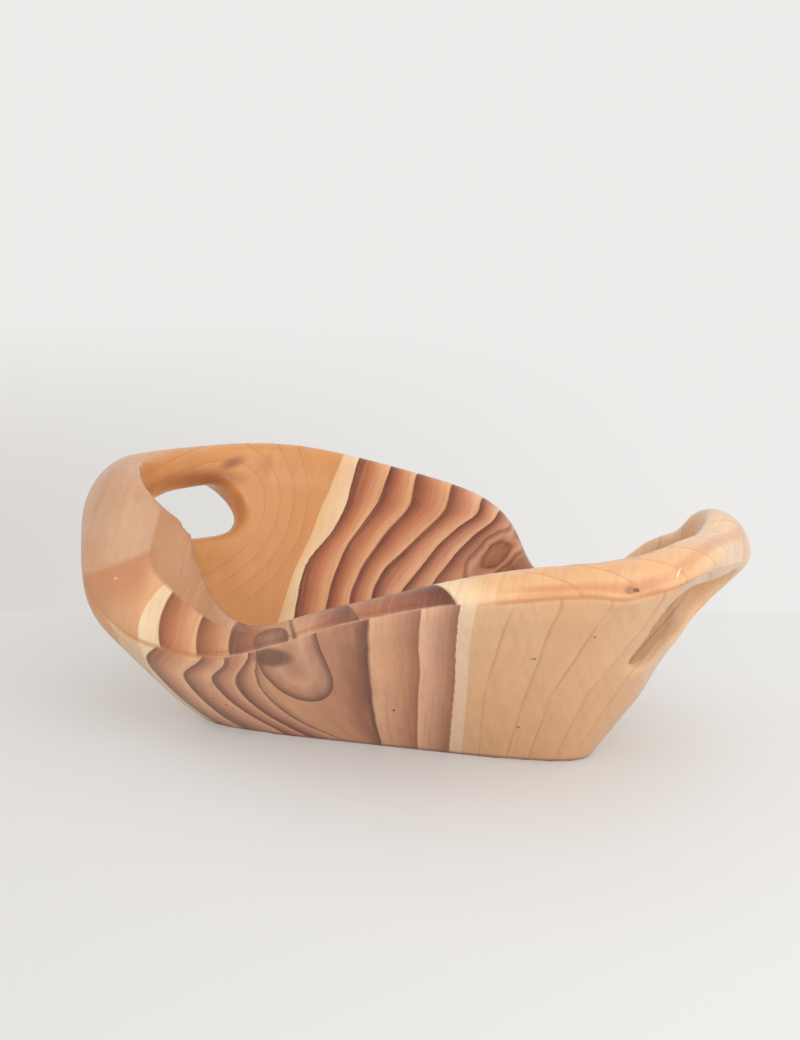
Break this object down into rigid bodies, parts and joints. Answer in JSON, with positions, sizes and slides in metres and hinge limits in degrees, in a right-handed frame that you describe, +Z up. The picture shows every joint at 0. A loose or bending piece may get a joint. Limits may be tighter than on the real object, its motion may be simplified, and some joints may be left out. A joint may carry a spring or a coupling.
{
  "type": "handled bowl",
  "caption": "Oval open bowl with a flat foot, flared walls, a thick wavy rim and a hand hole under a grip at each end.",
  "frame": {"origin": "on the table, under the middle of the flat foot", "axes": "+Z up; X from the left handle to the right handle; +Y towards the far wall"},
  "size_m": [0.3927, 0.2643, 0.147],
  "materials": {
    "glazed_body": "glazed, painted as wood grain",
    "glazed_grip": "glazed, painted as wood grain",
    "glazed_rim": "glazed, painted as wood grain"
  },
  "bodies": {
    "root": {"bowl_shell": "glazed_body", "left_handle": "glazed_grip", "right_handle": "glazed_grip", "near_rim": "glazed_rim", "far_rim": "glazed_rim"}
  },
  "joints": []
}
